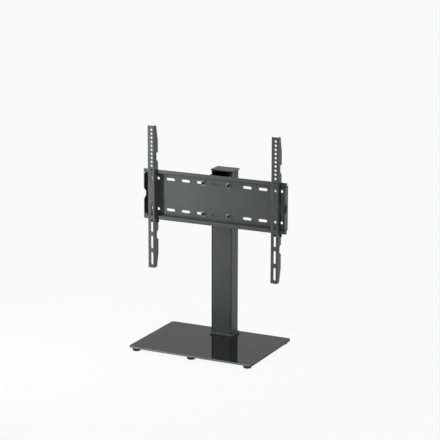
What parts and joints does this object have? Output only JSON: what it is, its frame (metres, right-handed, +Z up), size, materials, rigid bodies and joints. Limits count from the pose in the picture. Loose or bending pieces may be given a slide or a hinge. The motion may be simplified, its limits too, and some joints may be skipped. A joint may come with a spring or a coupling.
{
  "type": "tv stand with mount",
  "caption": "Table-top screen stand with a glass base, a steel column, a slotted mounting plate that changes height and perforated arms that slide along its rails.",
  "frame": {"origin": "on the table, under the middle of the glass base", "axes": "+X to the right as seen by the viewer, +Y to the back, away from the screen side, +Z up"},
  "size_m": [0.464, 0.28, 0.647],
  "materials": {
    "black_glass": "back-painted black tempered glass, polished face and edge",
    "powder_black": "fine-textured black powder coat on folded steel",
    "satin_black": "satin black powder coat on the steel column",
    "moulded_black": "fine-grained moulded black plastic",
    "rubber": "soft black rubber",
    "zinc_steel": "bright zinc-plated steel",
    "black_steel": "blackened steel"
  },
  "bodies": {
    "stand": {"glass_base": "black_glass", "front_left_foot": "rubber", "front_centre_foot": "rubber", "front_right_foot": "rubber", "rear_left_foot": "rubber", "rear_right_foot": "rubber", "upper_gasket": "rubber", "lower_gasket": "rubber", "clamp_plate": "powder_black", "base_screw_1": "zinc_steel", "base_screw_2": "zinc_steel", "base_screw_3": "zinc_steel", "base_screw_4": "zinc_steel", "column": "satin_black", "front_cover": "moulded_black", "foot_collar": "moulded_black", "top_cap": "moulded_black"},
    "lift": {"carriage_bracket": "powder_black", "mounting_plate": "powder_black", "plate_bolt_1": "black_steel", "plate_washer_1": "zinc_steel", "plate_nut_1": "zinc_steel", "plate_bolt_2": "black_steel", "plate_washer_2": "zinc_steel", "plate_nut_2": "zinc_steel", "plate_bolt_3": "black_steel", "plate_washer_3": "zinc_steel", "plate_nut_3": "zinc_steel", "plate_bolt_4": "black_steel", "plate_washer_4": "zinc_steel", "plate_nut_4": "zinc_steel", "height_bolt_1": "black_steel", "height_washer_1": "zinc_steel", "height_nut_1": "zinc_steel", "height_bolt_2": "black_steel", "height_washer_2": "zinc_steel", "height_nut_2": "zinc_steel", "height_bolt_3": "black_steel", "height_washer_3": "zinc_steel", "height_nut_3": "zinc_steel", "height_bolt_4": "black_steel", "height_washer_4": "zinc_steel", "height_nut_4": "zinc_steel"},
    "left_arm_set": {"left_arm": "powder_black", "left_lock_sleeve": "black_steel", "left_lock_nut": "black_steel"},
    "right_arm_set": {"right_arm": "powder_black", "right_lock_sleeve": "black_steel", "right_lock_nut": "black_steel"},
    "left_lock": {"left_lock_bolt": "black_steel"},
    "right_lock": {"right_lock_bolt": "black_steel"}
  },
  "joints": [
    {"name": "height_slide", "type": "slide", "parent": "stand", "child": "lift", "axis": [0, 0, 1], "range_m": [-0.06, 0]},
    {"name": "left_arm_slide", "type": "slide", "parent": "lift", "child": "left_arm_set", "axis": [1, 0, 0], "range_m": [-0.035, 0.15]},
    {"name": "right_arm_slide", "type": "slide", "parent": "lift", "child": "right_arm_set", "axis": [1, 0, 0], "range_m": [-0.15, 0.016]},
    {"name": "left_lock_turn", "type": "hinge", "parent": "left_arm_set", "child": "left_lock", "pos_m": [-0.19855, 0.0274, 0.3575], "axis": [1, 0, 0], "range_deg": [0, 720]},
    {"name": "right_lock_turn", "type": "hinge", "parent": "right_arm_set", "child": "right_lock", "pos_m": [0.20145, 0.0274, 0.3575], "axis": [1, 0, 0], "range_deg": [0, 720]}
  ]
}
